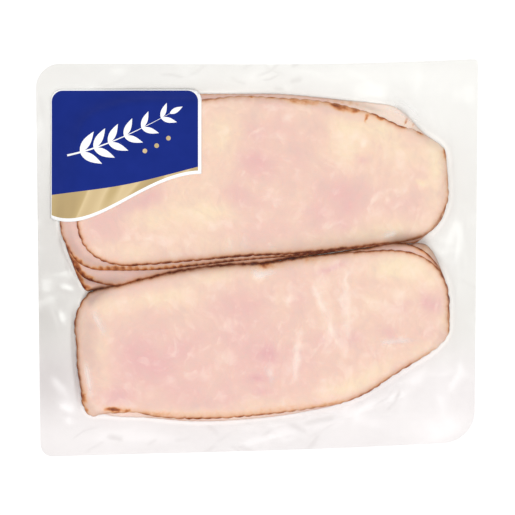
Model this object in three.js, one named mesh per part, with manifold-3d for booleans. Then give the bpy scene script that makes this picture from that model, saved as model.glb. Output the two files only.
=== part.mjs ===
// A vacuum pack of sliced turkey breast, lying flat: a clear pouch with two
// stacks of slices under its film, and a label stuck over one corner.
// Millimetres, +Z up. The origin is the middle of the flat underside, +X runs
// along the slices and +Y points to the edge that the label sits near.

import * as THREE from 'three';
import Module from 'manifold-3d';

const wasm = await Module();
wasm.setup();

// Driving dimensions of the pouch
const rimThickness = 0.5; // the two films, welded together round the slices
const pouchCorners = [
  { at: [-104, 91.1], radius: 11.5 },
  { at: [103.9, 93.4], radius: 2.2 },
  { at: [102.2, -86.3], radius: 14.5 },
  { at: [-101.7, -93.6], radius: 6 },
];
const cornerSteps = 8; // straight pieces round each corner

// Driving dimensions of the slices
const sliceThickness = 2;
const filmThickness = 0.3; // film and trapped air over the top slice
const tentLean = 0.6; // how far the taut film leans out for each mm that it drops
const edgeRounding = 0.5; // the top rim of each slice, rounded over
const outlineSteps = 72; // straight pieces round each slice

// Top slice of the upper stack, clockwise from the middle of its left end
const upperSlice = [
  [-85.5, 36.5], [-83, 59], [-72, 70.9], [-50, 74.1], [-24, 75], [10, 75.6],
  [36.2, 73.9], [56.4, 67.6], [81.3, 55.6], [88.8, 47], [89.6, 30], [86, 16],
  [75, 9.2], [50, 5.4], [10, 1.8], [-30, -1.6], [-62, -3.6], [-77, -0.6], [-83.2, 9],
];

// Top slice of the lower stack, clockwise from the middle of its left end
const lowerSlice = [
  [-85.4, -40], [-82.8, -26], [-76, -15.4], [-54.5, -10.5], [-26.8, -5.5], [2.3, -3.2],
  [39, 1.6], [60.2, 3.4], [75.7, 1.8], [86, -6.2], [90, -21], [89.2, -35.6],
  [82, -44], [64, -55], [48.4, -64.6], [27.3, -70.1], [0.5, -73.8], [-31.5, -75.5],
  [-60, -73.2], [-78.4, -74.6], [-82.6, -67], [-84, -55],
];

// Each stack from the bottom up. A slice below the top one has the same outline,
// a little larger, pushed aside by shift and turned by turn degrees.
const stacks = [
  {
    outline: upperSlice,
    slices: [
      { shift: [-1.5, -5.6], turn: 3.6, grow: 0.99 },
      { shift: [-4, -4], turn: 2.4, grow: 1.01 },
      { shift: [-4.2, 0], turn: 0, grow: 1.045 },
      { shift: [0, 0], turn: 0, grow: 1 },
    ],
  },
  {
    outline: lowerSlice,
    slices: [
      { shift: [0.6, 0.4], turn: -0.6, grow: 1.01 },
      { shift: [-0.4, 1.6], turn: 0.4, grow: 1.015 },
      { shift: [0, 0], turn: 0, grow: 1 },
    ],
  },
];

// Pleats pinched into the film round the slices, each from its crest to where it dies away
const pleatHeight = 2.2;
const pleatHalfWidth = 1.6;
const pleats = [
  { from: [86, 1], to: [98.5, 6.5] },
  { from: [86, -1], to: [99, -3] },
  { from: [87, 52], to: [97, 60] },
  { from: [80, -47], to: [94, -58] },
  { from: [66, -56], to: [78, -72] },
  { from: [-80, -75], to: [-92, -84] },
];

// Driving dimensions of the label
const labelCorner = [-96.8, 79.1]; // its outer top corner
const labelWidth = 70.8;
const labelShortSide = 39.8;
const labelLongSide = 60.6;
const labelRadius = 5.2;
const labelPulls = [[-76, 9.5], [-53, 39]]; // the two handles of its S-shaped bottom edge
const labelThickness = 0.4;
const labelGap = 0.35; // between the label and the film that it is stuck to
const labelCurveSteps = 16; // straight pieces on each of its curves
const aboveAll = 20; // higher than any part of the pack

// Glossy film over pale meat, and coated paper
const pouchFinish = new THREE.MeshStandardMaterial({ color: '#f0cfc0', roughness: 0.25, metalness: 0 });
const labelFinish = new THREE.MeshStandardMaterial({ color: '#21348a', roughness: 0.35, metalness: 0 });

// A closed shape with straight sides and rounded corners
function roundedShape(corners) {
  const shape = new THREE.Shape();
  corners.forEach(({ at, radius }, i) => {
    const corner = new THREE.Vector2(...at);
    const before = new THREE.Vector2(...corners.at(i - 1).at);
    const after = new THREE.Vector2(...corners[(i + 1) % corners.length].at);
    const into = corner.clone().add(before.sub(corner).setLength(radius));
    const out = corner.clone().add(after.sub(corner).setLength(radius));
    if (i === 0) shape.moveTo(into.x, into.y);
    else shape.lineTo(into.x, into.y);
    shape.quadraticCurveTo(corner.x, corner.y, out.x, out.y);
  });
  shape.closePath();
  return shape;
}

// A shape's points, once round, with steps points on each curve
const ringOf = (shape, steps) => shape.getPoints(steps).slice(0, -1);

// Points evenly spaced along a smooth closed line through a slice's few points
function sliceOutline(points) {
  const line = new THREE.CatmullRomCurve3(points.map(([x, y]) => new THREE.Vector3(x, y, 0)), true);
  return line.getSpacedPoints(outlineSteps).slice(0, -1).map((p) => new THREE.Vector2(p.x, p.y));
}

// The same slice lying a little differently, about its own middle
function laid(outline, { shift, turn, grow }) {
  const middle = new THREE.Box2().setFromPoints(outline).getCenter(new THREE.Vector2());
  const angle = THREE.MathUtils.degToRad(turn);
  return outline.map((p) => p.clone().sub(middle).multiplyScalar(grow)
    .rotateAround(new THREE.Vector2(), angle).add(middle).add(new THREE.Vector2(...shift)));
}

// An outline moved outwards by a distance, or inwards where it is negative
function offset(outline, distance) {
  const turnsLeft = THREE.ShapeUtils.area(outline) > 0 ? 1 : -1;
  return outline.map((p, i) => {
    const before = outline.at(i - 1);
    const after = outline[(i + 1) % outline.length];
    const along = after.clone().sub(before).normalize();
    return p.clone().add(new THREE.Vector2(along.y, -along.x).multiplyScalar(distance * turnsLeft));
  });
}

// A closed solid between rings of points, each { outline, z }, from the bottom up
function loft(rings) {
  const count = rings[0].outline.length;
  const reversed = THREE.ShapeUtils.area(rings[0].outline) < 0;
  const outlines = rings.map(({ outline }) => (reversed ? [...outline].reverse() : outline));
  const position = outlines.flatMap((outline, k) => outline.flatMap((p) => [p.x, p.y, rings[k].z]));
  const top = (rings.length - 1) * count;
  const index = [];
  for (const [a, b, c] of THREE.ShapeUtils.triangulateShape(outlines[0], [])) index.push(c, b, a);
  for (const [a, b, c] of THREE.ShapeUtils.triangulateShape(outlines.at(-1), [])) {
    index.push(top + a, top + b, top + c);
  }
  for (let k = 0; k < rings.length - 1; k += 1) {
    for (let i = 0; i < count; i += 1) {
      const next = (i + 1) % count;
      const [a, b] = [k * count + i, k * count + next];
      index.push(a, b, b + count, a, b + count, a + count);
    }
  }
  const geometry = new THREE.BufferGeometry();
  geometry.setAttribute('position', new THREE.Float32BufferAttribute(position, 3));
  geometry.setIndex(index);
  return geometry;
}

const slab = (outline, bottom, top) => loft([{ outline, z: bottom }, { outline, z: top }]);

// Into the solid form that can be joined and cut, and back
function solidOf(geometry) {
  return new wasm.Manifold(new wasm.Mesh({
    numProp: 3,
    vertProperties: Float32Array.from(geometry.getAttribute('position').array),
    triVerts: Uint32Array.from(geometry.getIndex().array),
  }));
}

function geometryOf(solid) {
  const { vertProperties, triVerts } = solid.getMesh();
  const geometry = new THREE.BufferGeometry();
  geometry.setAttribute('position', new THREE.BufferAttribute(Float32Array.from(vertProperties), 3));
  geometry.setIndex(new THREE.BufferAttribute(Uint32Array.from(triVerts), 1));
  geometry.computeVertexNormals();
  return geometry;
}

// The welded rim, as one thin slab under everything
function rimSlab() {
  return slab(ringOf(roundedShape(pouchCorners), cornerSteps), 0, rimThickness);
}

// A slice with all that is under it, and the film leaning out from it to the rim
function mound(outline, level) {
  const shoulder = level * sliceThickness - edgeRounding;
  const top = level * sliceThickness + filmThickness;
  const foot = rimThickness / 2;
  return loft([
    { outline: offset(outline, (shoulder - foot) * tentLean), z: foot },
    { outline, z: shoulder },
    { outline: offset(outline, -edgeRounding), z: top },
  ]);
}

// A sharp little roof of pinched film, which dies away towards its outer end
function pleat({ from, to }) {
  const [a, b] = [new THREE.Vector2(...from), new THREE.Vector2(...to)];
  const along = b.clone().sub(a).normalize();
  const side = new THREE.Vector2(-along.y, along.x).multiplyScalar(pleatHalfWidth);
  const foot = rimThickness / 2;
  const position = [
    [a.x - side.x, a.y - side.y, foot],
    [a.x + side.x, a.y + side.y, foot],
    [b.x, b.y, foot],
    [a.x, a.y, rimThickness + pleatHeight],
  ];
  const geometry = new THREE.BufferGeometry();
  geometry.setAttribute('position', new THREE.Float32BufferAttribute(position.flat(), 3));
  geometry.setIndex([0, 1, 2, 1, 0, 3, 2, 1, 3, 0, 2, 3]);
  return geometry;
}

function pouchSolid() {
  let pouch = solidOf(rimSlab());
  for (const { outline, slices } of stacks) {
    const smooth = sliceOutline(outline);
    slices.forEach((lie, k) => {
      pouch = pouch.add(solidOf(mound(laid(smooth, lie), k + 1)));
    });
  }
  for (const fold of pleats) pouch = pouch.add(solidOf(pleat(fold)));
  return pouch;
}

// The label's outline: three straight sides, and a bottom edge on one S-shaped curve
function labelShape() {
  const [left, top] = labelCorner;
  const right = left + labelWidth;
  const [leftPull, rightPull] = labelPulls;
  const shape = new THREE.Shape();
  shape.moveTo(left, top - labelLongSide);
  shape.bezierCurveTo(...leftPull, ...rightPull, right, top - labelShortSide);
  shape.lineTo(right, top - labelRadius);
  shape.quadraticCurveTo(right, top, right - labelRadius, top);
  shape.lineTo(left + labelRadius, top);
  shape.quadraticCurveTo(left, top, left, top - labelRadius);
  shape.closePath();
  return shape;
}

// The label follows the film under it: what lies between two raised copies of
// the pouch, inside the label's outline
function labelSolid(pouch) {
  const above = pouch.translate([0, 0, labelGap + labelThickness]);
  const below = pouch.translate([0, 0, labelGap]);
  return above.subtract(below).intersect(solidOf(slab(ringOf(labelShape(), labelCurveSteps), 0, aboveAll)));
}

function named(name, solid, finish) {
  const mesh = new THREE.Mesh(geometryOf(solid), finish);
  mesh.name = name;
  return mesh;
}

const pouch = pouchSolid();
const pack = new THREE.Group();
pack.add(named('pouch', pouch, pouchFinish));
pack.add(named('label', labelSolid(pouch), labelFinish));

export default pack;
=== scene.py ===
import math
import random

import bpy
import numpy as np
from mathutils.geometry import delaunay_2d_cdt
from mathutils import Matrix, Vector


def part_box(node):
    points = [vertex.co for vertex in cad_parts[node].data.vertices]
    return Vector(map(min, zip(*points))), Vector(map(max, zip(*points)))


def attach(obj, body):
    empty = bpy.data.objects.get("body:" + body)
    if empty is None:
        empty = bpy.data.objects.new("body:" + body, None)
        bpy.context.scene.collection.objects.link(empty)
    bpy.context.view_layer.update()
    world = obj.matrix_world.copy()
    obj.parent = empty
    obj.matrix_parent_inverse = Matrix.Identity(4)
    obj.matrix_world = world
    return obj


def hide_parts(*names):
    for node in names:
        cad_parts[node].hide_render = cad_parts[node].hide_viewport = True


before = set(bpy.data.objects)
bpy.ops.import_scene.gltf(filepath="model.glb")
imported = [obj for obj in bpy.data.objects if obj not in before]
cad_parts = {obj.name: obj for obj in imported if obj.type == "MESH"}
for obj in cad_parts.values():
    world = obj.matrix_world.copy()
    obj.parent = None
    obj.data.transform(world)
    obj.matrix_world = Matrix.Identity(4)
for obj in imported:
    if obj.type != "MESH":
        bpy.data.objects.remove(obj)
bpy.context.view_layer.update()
mm = 0.001


# Small tools: colour, nodes, curves, heights and meshes

def sRgb(code):  # "#rrggbb" to linear
    parts = [int(code[i:i + 2], 16) / 255 for i in (1, 3, 5)]
    return tuple(c / 12.92 if c <= 0.04045 else ((c + 0.055) / 1.055) ** 2.4 for c in parts) + (1,)


def addNode(tree, kind, inputs=None, **settings):  # a node among the inputs stands for its first output
    node = tree.nodes.new(kind)
    for name, value in settings.items():
        setattr(node, name, value)
    for socket, value in (inputs or {}).items():
        if isinstance(value, bpy.types.Node):
            value = value.outputs[0]
        if isinstance(value, bpy.types.NodeSocket):
            tree.links.new(value, node.inputs[socket])
        else:
            node.inputs[socket].default_value = value
    return node


def newMaterial(name):
    material = bpy.data.materials.new(name)
    material.use_nodes = True
    material.node_tree.nodes.clear()
    return material, material.node_tree


def setRamp(node, stops):  # stops are (position, "#rrggbb")
    elements = node.color_ramp.elements
    while len(elements) < len(stops):
        elements.new(0.5)
    for element, (position, code) in zip(elements, stops):
        element.position = position
        element.color = sRgb(code)
    return node.outputs["Color"]


def smoothLoop(points, step):  # closed smooth curve through the points, sampled evenly, anticlockwise
    p = np.array(points, float)
    ahead = np.roll(p, -1, 0) - p
    span = np.hypot(ahead[:, 0], ahead[:, 1])[:, None]
    speed = ahead / span
    before = np.roll(span, 1, 0)
    tangent = (speed * before + np.roll(speed, 1, 0) * span) / (span + before)
    samples = 16  # on each stretch, before they are evened out
    t = np.linspace(0, 1, samples, endpoint=False)[None, :, None]
    start, end = p[:, None], np.roll(p, -1, 0)[:, None]
    out, into = (tangent * span)[:, None], (np.roll(tangent, -1, 0) * span)[:, None]
    curve = ((2 * t**3 - 3 * t**2 + 1) * start + (t**3 - 2 * t**2 + t) * out
             + (3 * t**2 - 2 * t**3) * end + (t**3 - t**2) * into).reshape(-1, p.shape[1])
    closed = np.vstack([curve, curve[:1]])
    along = np.concatenate([[0], np.cumsum(np.hypot(*np.diff(closed[:, :2], axis=0).T))])
    wanted = np.linspace(0, along[-1], round(along[-1] / step), endpoint=False)
    loop = np.stack([np.interp(wanted, along, column) for column in closed.T], 1)
    x, y = loop[:, 0], loop[:, 1]
    area = np.sum(x * np.roll(y, -1) - np.roll(x, -1) * y)
    return loop if area > 0 else loop[::-1]


def outwardOf(loop):  # unit normals of an anticlockwise loop
    along = np.roll(loop[:, :2], -1, 0) - np.roll(loop[:, :2], 1, 0)
    along /= np.hypot(*along.T)[:, None]
    return np.stack([along[:, 1], -along[:, 0]], 1)


def distanceTo(x, y, points):  # from each x, y to the nearest of the points
    found = np.empty(x.size)
    atOnce = 4096  # spares memory
    for i in range(0, x.size, atOnce):
        part = slice(i, i + atOnce)
        gapX = x.ravel()[part, None] - points[None, :, 0]
        gapY = y.ravel()[part, None] - points[None, :, 1]
        found[part] = np.sqrt((gapX**2 + gapY**2).min(1))
    return found.reshape(x.shape)


def distanceToLine(x, y, line):  # to straight pieces in a row, with the share passed, and on the left or not
    best = np.full(x.shape, np.inf)
    share = np.zeros(x.shape)
    left = np.zeros(x.shape, bool)
    pieces = list(zip(line[:-1], line[1:]))
    for k, ((ax, ay), (bx, by)) in enumerate(pieces):
        dx, dy = bx - ax, by - ay
        t = np.clip(((x - ax) * dx + (y - ay) * dy) / (dx * dx + dy * dy), 0, 1)
        gap = np.hypot(x - ax - t * dx, y - ay - t * dy)
        nearer = gap < best
        best = np.where(nearer, gap, best)
        share = np.where(nearer, (k + t) / len(pieces), share)
        left = np.where(nearer, (y - ay) * dx > (x - ax) * dy, left)
    return best, share, left


def softPatches(x, y, patches):  # sum of soft ovals: x, y, half width, half height, turn in degrees, strength
    total = np.zeros(x.shape)
    for px, py, wide, high, turn, strength in patches:
        c, s = math.cos(math.radians(turn)), math.sin(math.radians(turn))
        u = ((x - px) * c + (y - py) * s) / wide
        v = ((y - py) * c - (x - px) * s) / high
        total += strength * np.exp(-(u * u + v * v))
    return total


def wobble(x, y, size, seed):  # smooth random hills about -1 to 1, size mm apart
    rng = random.Random(seed)
    total = np.zeros(np.shape(x))
    waves = 7
    for _ in range(waves):
        angle, phase = rng.uniform(0, math.pi), rng.uniform(0, 2 * math.pi)
        wave = 2 * math.pi / (size * rng.uniform(0.7, 1.5))
        total += np.sin((x * math.cos(angle) + y * math.sin(angle)) * wave + phase)
    return total / 4


# A grid of heights over the whole pack, on which slices, film and label are laid one on another
gridStep = 0.7
gridX = np.arange(-108, 108, gridStep)
gridY = np.arange(-97, 97, gridStep)
gridPlace = np.meshgrid(gridX, gridY)


def insideOf(loop):  # which grid points lie inside a loop
    mask = np.zeros(gridPlace[0].shape, bool)
    a, b = loop[:, :2], np.roll(loop[:, :2], -1, 0)
    for row, y in enumerate(gridY):
        crossing = (a[:, 1] > y) != (b[:, 1] > y)
        c, d = a[crossing], b[crossing]
        x = np.sort(c[:, 0] + (y - c[:, 1]) * (d[:, 0] - c[:, 0]) / (d[:, 1] - c[:, 1]))
        mask[row] = np.searchsorted(x, gridX) % 2 == 1
    return mask


def drape(under, curving, rounds):  # a sheet sinks on what is under it, curving down that much per mm
    pull = curving * gridStep**2 / 4
    height = under.copy()
    for _ in range(rounds):
        mean = (np.roll(height, 1, 0) + np.roll(height, -1, 0)
                + np.roll(height, 1, 1) + np.roll(height, -1, 1)) / 4
        height = np.maximum(under, mean - pull)
    return height


def heightAt(heights, x, y):  # between grid points
    u = np.clip((x - gridX[0]) / gridStep, 0, len(gridX) - 1.001)
    v = np.clip((y - gridY[0]) / gridStep, 0, len(gridY) - 1.001)
    i, j = v.astype(int), u.astype(int)
    fv, fu = v - i, u - j
    low = heights[i, j] * (1 - fu) + heights[i, j + 1] * fu
    high = heights[i + 1, j] * (1 - fu) + heights[i + 1, j + 1] * fu
    return low * (1 - fv) + high * fv


def makePiece(name, points, faces, materials, attributes=None, faceMaterials=None):
    mesh = bpy.data.meshes.new(name)
    mesh.from_pydata((np.asarray(points) * mm).tolist(), [], faces)
    for key, values in (attributes or {}).items():
        mesh.attributes.new(key, "FLOAT", "POINT").data.foreach_set("value", np.asarray(values, np.float32))
    for material in materials:
        mesh.materials.append(material)
    if faceMaterials is not None:
        mesh.polygons.foreach_set("material_index", faceMaterials)
    mesh.shade_smooth()
    piece = bpy.data.objects.new(name, mesh)
    bpy.context.scene.collection.objects.link(piece)
    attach(piece, "root")
    return piece


# Materials

def cookedTurkey():
    # Turkey breast, brined, cooked in a net and sliced. Moist and fine-grained: pink and cream run into each
    # other in soft patches with short torn fibres, and the netted outside is a thin browned rind.
    material, tree = newMaterial("cookedTurkey")
    place = addNode(tree, "ShaderNodeTexCoord").outputs["Object"]
    pink, light, across, rimDistance, rimTone, toastAndShade = (
        addNode(tree, "ShaderNodeAttribute", attribute_name=key).outputs["Fac"]
        for key in ("pink", "light", "across", "rimDistance", "rimTone", "toastAndShade"))
    axes = addNode(tree, "ShaderNodeSeparateXYZ", {"Vector": place})
    muscle = addNode(tree, "ShaderNodeTexNoise", {"Vector": place, "Scale": 1 / (12 * mm), "Detail": 1})
    lump = addNode(tree, "ShaderNodeTexNoise", {
        "Vector": place, "Scale": 1 / (4.5 * mm), "Detail": 2, "Distortion": 0.6})
    alongFlow = addNode(tree, "ShaderNodeCombineXYZ", {
        "X": across, "Y": axes.outputs["X"], "Z": axes.outputs["Y"]})
    fibreWay = addNode(tree, "ShaderNodeVectorMath", {
        0: alongFlow, 1: (1 / 3, 1 / (8 * mm), 1 / (8 * mm))}, operation="MULTIPLY")
    fibre = addNode(tree, "ShaderNodeTexNoise", {"Vector": fibreWay, "Scale": 1, "Detail": 2})

    # Flakes, about 4 by 9 mm, torn across the grain: each is a little lighter or duller than the next
    scatter = addNode(tree, "ShaderNodeVectorMath", {
        0: lump.outputs["Color"], 1: (3, 3 * mm, 3 * mm), 2: alongFlow}, operation="MULTIPLY_ADD")
    flakeWay = addNode(tree, "ShaderNodeVectorMath", {
        0: scatter, 1: (1 / 4.5, 1 / (8 * mm), 1 / (8 * mm))}, operation="MULTIPLY")
    flake = addNode(tree, "ShaderNodeTexVoronoi", {
        "Vector": flakeWay, "Scale": 1, "Smoothness": 0.3}, feature="SMOOTH_F1")
    flakeTone = addNode(tree, "ShaderNodeSeparateColor", {"Color": flake.outputs["Color"]})

    # From cream to pink, by the patches listed and by two sizes of noise
    muscleShare = addNode(tree, "ShaderNodeMath", {0: muscle, 1: 0.36, 2: 0.23}, operation="MULTIPLY_ADD")
    lumpShare = addNode(tree, "ShaderNodeMath", {0: lump, 1: 0.12, 2: -0.06}, operation="MULTIPLY_ADD")
    handShare = addNode(tree, "ShaderNodeMath", {0: pink, 1: 0.42, 2: muscleShare}, operation="MULTIPLY_ADD")
    blend = addNode(tree, "ShaderNodeMath", {0: handShare, 1: lumpShare})
    meat = setRamp(addNode(tree, "ShaderNodeValToRGB", {"Fac": blend}), [
        (0.0, "#efd9be"), (0.3, "#eccebb"), (0.55, "#e7c3b8"), (0.8, "#e3b7b4"), (1.0, "#ddaaac")])

    # Paler where it is light, duller where it isn't, by the patches, flakes, fibres and lumps. The dulling of
    # the slices under a top one, and a few marked patches by the gap and its corners, is painted shade.
    flakeShare = addNode(tree, "ShaderNodeMath", {
        0: flakeTone.outputs["Red"], 1: 0.45, 2: -0.22}, operation="MULTIPLY_ADD")
    fibreShare = addNode(tree, "ShaderNodeMath", {0: fibre, 1: 0.5, 2: flakeShare}, operation="MULTIPLY_ADD")
    grainShare = addNode(tree, "ShaderNodeMath", {0: lump, 1: 1.5, 2: fibreShare}, operation="MULTIPLY_ADD")
    level = addNode(tree, "ShaderNodeMath", {0: light, 1: grainShare})
    for fullLevel, share, colour in ((2.2, 0.8, "#f8e5d8"), (0.1, 0.6, "#d9bbb4")):
        amount = addNode(tree, "ShaderNodeMapRange", {"Value": level, 1: 1.05, 2: fullLevel, 3: 0, 4: share})
        meat = addNode(tree, "ShaderNodeMix", {0: amount, 6: meat, 7: sRgb(colour)},
                       data_type="RGBA").outputs[2]

    # The rind: tan fading into the meat behind it, browned spots listed, and over them a brown line
    # along the edge, as wide and dark as rimTone says
    crumb = addNode(tree, "ShaderNodeTexNoise", {"Vector": place, "Scale": 1 / (1.4 * mm), "Detail": 2})
    uneven = addNode(tree, "ShaderNodeMath", {0: crumb, 1: 0.7, 2: 0.65}, operation="MULTIPLY_ADD")
    tone = addNode(tree, "ShaderNodeMath", {0: rimTone, 1: uneven}, operation="MULTIPLY")
    for reach, share, colour in ((4, 0.75, "#dca57c"), (2.3, 0.9, "#c4865a")):
        shape = addNode(tree, "ShaderNodeMapRange", {"Value": rimDistance, 1: reach, 2: 0, 3: 0, 4: share},
                        interpolation_type="SMOOTHERSTEP")
        amount = addNode(tree, "ShaderNodeMath", {0: shape, 1: tone}, operation="MULTIPLY", use_clamp=True)
        meat = addNode(tree, "ShaderNodeMix", {0: amount, 6: meat, 7: sRgb(colour)},
                       data_type="RGBA").outputs[2]
    # These patches brown the rind, and a few by the gap between the stacks paint its brownish shade
    toastAndShadeEdge = addNode(tree, "ShaderNodeMath", {0: toastAndShade, 1: uneven}, operation="MULTIPLY")
    toastAndShadeColour = setRamp(addNode(tree, "ShaderNodeValToRGB", {"Fac": toastAndShadeEdge}), [
        (0.2, "#f0c592"), (0.45, "#d69058"), (0.7, "#a55b30"), (0.95, "#783818")])
    toastAndShadeShare = addNode(tree, "ShaderNodeMapRange", {
        "Value": toastAndShadeEdge, 1: 0.1, 2: 0.6, 3: 0, 4: 0.95}, interpolation_type="SMOOTHSTEP")
    meat = addNode(tree, "ShaderNodeMix", {0: toastAndShadeShare, 6: meat, 7: toastAndShadeColour},
                   data_type="RGBA").outputs[2]
    past = addNode(tree, "ShaderNodeMath", {0: tone, 1: -0.75, 2: rimDistance}, operation="MULTIPLY_ADD")
    lineShape = addNode(tree, "ShaderNodeMapRange", {"Value": past, 1: 0.75, 2: -0.3, 3: 0, 4: 1},
                        interpolation_type="SMOOTHSTEP")
    strength = addNode(tree, "ShaderNodeMath", {0: tone, 1: 2.2}, operation="MULTIPLY", use_clamp=True)
    line = addNode(tree, "ShaderNodeMath", {0: lineShape, 1: strength}, operation="MULTIPLY")
    brown = setRamp(addNode(tree, "ShaderNodeValToRGB", {"Fac": tone}), [
        (0.1, "#dba873"), (0.35, "#c6814b"), (0.7, "#9d5228"), (1.0, "#6f2d14")])
    meat = addNode(tree, "ShaderNodeMix", {0: line, 6: meat, 7: brown}, data_type="RGBA").outputs[2]

    # The film lies wet on it, so hardly any light is mirrored at the meat itself
    grain = addNode(tree, "ShaderNodeMath", {0: lump, 1: fibre})
    relief = addNode(tree, "ShaderNodeBump", {"Height": grain, "Strength": 0.4, "Distance": 0.5 * mm})
    surface = addNode(tree, "ShaderNodeBsdfPrincipled", {
        "Base Color": meat, "Roughness": 0.5, "IOR": 1.4, "Specular IOR Level": 0.1, "Normal": relief,
        "Subsurface Weight": 0.15, "Subsurface Radius": (1, 0.4, 0.25), "Subsurface Scale": 0.9 * mm})
    addNode(tree, "ShaderNodeOutputMaterial", {"Surface": surface})
    return material


def vacuumFilm():
    # Polyamide and polyethylene film, blown together and drawn down by vacuum. Clear and glossy where it lies
    # wet on the meat; whitish where it is creased or welded dry to the other film, the creases partly as
    # painted highlights; darkened by its shade, which is the grey of two films together and painted shade
    # beside and between the stacks; a little pink towards the bottom.
    material, tree = newMaterial("vacuumFilm")
    place = addNode(tree, "ShaderNodeTexCoord").outputs["Object"]
    ripple = addNode(tree, "ShaderNodeTexNoise", {"Vector": place, "Scale": 1 / (5 * mm), "Detail": 3})
    relief = addNode(tree, "ShaderNodeBump", {"Height": ripple, "Strength": 0.35, "Distance": 0.4 * mm})
    haze, shade = (
        addNode(tree, "ShaderNodeAttribute", attribute_name=key).outputs["Fac"] for key in ("haze", "shade"))
    axes = addNode(tree, "ShaderNodeSeparateXYZ", {"Vector": place})
    towardsBottom = addNode(tree, "ShaderNodeMapRange", {
        "Value": axes.outputs["Y"], 1: -30 * mm, 2: -60 * mm, 3: 0, 4: 1}, interpolation_type="SMOOTHSTEP")
    plain = addNode(tree, "ShaderNodeMix", {0: towardsBottom, 6: sRgb("#fffffe"), 7: sRgb("#fffefe")},
                    data_type="RGBA").outputs[2]
    through = addNode(tree, "ShaderNodeMix", {0: shade, 6: plain, 7: sRgb("#8e807c")},
                      data_type="RGBA").outputs[2]
    clear = addNode(tree, "ShaderNodeBsdfTransparent", {"Color": through})
    cloud = setRamp(addNode(tree, "ShaderNodeValToRGB", {"Fac": ripple}), [
        (0.35, "#f6f4f2"), (0.65, "#fdfcfb")])
    milk = addNode(tree, "ShaderNodeBsdfPrincipled", {
        "Base Color": cloud, "Roughness": 0.3, "IOR": 1.5, "Normal": relief})
    body = addNode(tree, "ShaderNodeMixShader", {0: haze, 1: clear, 2: milk})
    slant = addNode(tree, "ShaderNodeLayerWeight", {"Blend": 0.5, "Normal": relief})
    grazing = addNode(tree, "ShaderNodeMath", {0: slant.outputs["Facing"], 1: 5}, operation="POWER")
    mirror = addNode(tree, "ShaderNodeMapRange", {"Value": grazing, 1: 0, 2: 1, 3: 0.012, 4: 0.8})
    gloss = addNode(tree, "ShaderNodeBsdfGlossy", {
        "Color": sRgb("#ffffff"), "Roughness": 0.22, "Normal": relief})
    film = addNode(tree, "ShaderNodeMixShader", {0: mirror, 1: body, 2: gloss})
    addNode(tree, "ShaderNodeOutputMaterial", {"Surface": film})
    return material


def coatedPaper(name, stops, roughness, slantedFields=False):
    # Coated label paper, offset printed. The print is even, with a faint tooth from the paper under it. The
    # gold is a flat ink with broad slanted fields, lighter and darker.
    material, tree = newMaterial(name)
    place = addNode(tree, "ShaderNodeTexCoord").outputs["Object"]
    tooth = addNode(tree, "ShaderNodeTexNoise", {"Vector": place, "Scale": 1 / (0.8 * mm), "Detail": 2})
    if slantedFields:
        fieldWay = addNode(tree, "ShaderNodeMapping", {
            "Vector": place, "Rotation": (0, 0, math.radians(-32)), "Scale": (11 * mm, 70 * mm, 1)},
            vector_type="TEXTURE")
        field = addNode(tree, "ShaderNodeTexNoise", {"Vector": fieldWay, "Scale": 1, "Detail": 0})
    else:
        field = addNode(tree, "ShaderNodeTexNoise", {"Vector": place, "Scale": 1 / (9 * mm), "Detail": 2})
    colour = setRamp(addNode(tree, "ShaderNodeValToRGB", {"Fac": field}), stops)
    relief = addNode(tree, "ShaderNodeBump", {"Height": tooth, "Strength": 0.08, "Distance": 0.1 * mm})
    surface = addNode(tree, "ShaderNodeBsdfPrincipled", {
        "Base Color": colour, "Normal": relief, "Roughness": roughness, "IOR": 1.5,
        "Specular IOR Level": 0.1})
    addNode(tree, "ShaderNodeOutputMaterial", {"Surface": surface})
    return material


def studioCard():
    # Matt white card, a photographer's sweep: even and almost without texture
    material, tree = newMaterial("studioCard")
    place = addNode(tree, "ShaderNodeTexCoord").outputs["Object"]
    pulp = addNode(tree, "ShaderNodeTexNoise", {"Vector": place, "Scale": 1 / (3 * mm), "Detail": 2})
    colour = setRamp(addNode(tree, "ShaderNodeValToRGB", {"Fac": pulp}), [
        (0.3, "#fbfbfb"), (0.7, "#fdfdfd")])
    surface = addNode(tree, "ShaderNodeBsdfPrincipled", {"Base Color": colour, "Roughness": 0.9})
    addNode(tree, "ShaderNodeOutputMaterial", {"Surface": surface})
    return material


# The slices. Where a value has a True and a False, True is for a stack's top slice, whose whole face shows.
sliceStyle = {
    "thickness": 2,
    "rimStep": 0.8,  # between points along the rim
    "scallopLength": (3.8, 6.2),  # marks of the net that the breast was cooked in
    "scallopDepth": (0.2, 0.75),
    "scallopTone": (0.7, 1.15),  # browner and paler marks
    "notchTone": 0.64,  # how brown a notch between two marks is, as a share of the mark
    "dots": 0.15,  # how far the browning behind the rim keeps to the marks
    "insets": (0.35, 0.7, 1.1, 1.6, 2.3, 3.2, 4.5),  # rows of points inside the rim
    "middleStep": {True: 1.15, False: 3.5},
    "rounding": 0.8,  # of the rim, above and below
    "roundedShare": 0.3,  # of the thickness
    "edgeSag": {True: 0.6, False: 0.3},  # how far the rim is pressed down
    "edgeReach": 7,
    "bending": 0.16,  # per mm, over the rim of the slice beneath
    "bendRounds": 120,
    "waves": 0.14,  # height of the unevenness on a top slice's face
    "waveRoom": {True: 0.15, False: 0},  # how far above the slices the film passes, over most of the waves
    "waveLength": 13,
    "waveFade": 4,  # from the rim
    "tears": ((0.7, 7, 31), (0.9, 8, 32)),  # in x and y, so that no patch is a neat oval: mm, size, seed
    "brownedTears": ((0.5, 3, 33), (0.4, 4, 34)),
    "grainBends": ((5, 26, 35), (1.6, 9, 36)),
    "shadeUnderTop": 0.3,  # painted shade: how much pinker and duller the slices under the top one are
}
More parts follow.
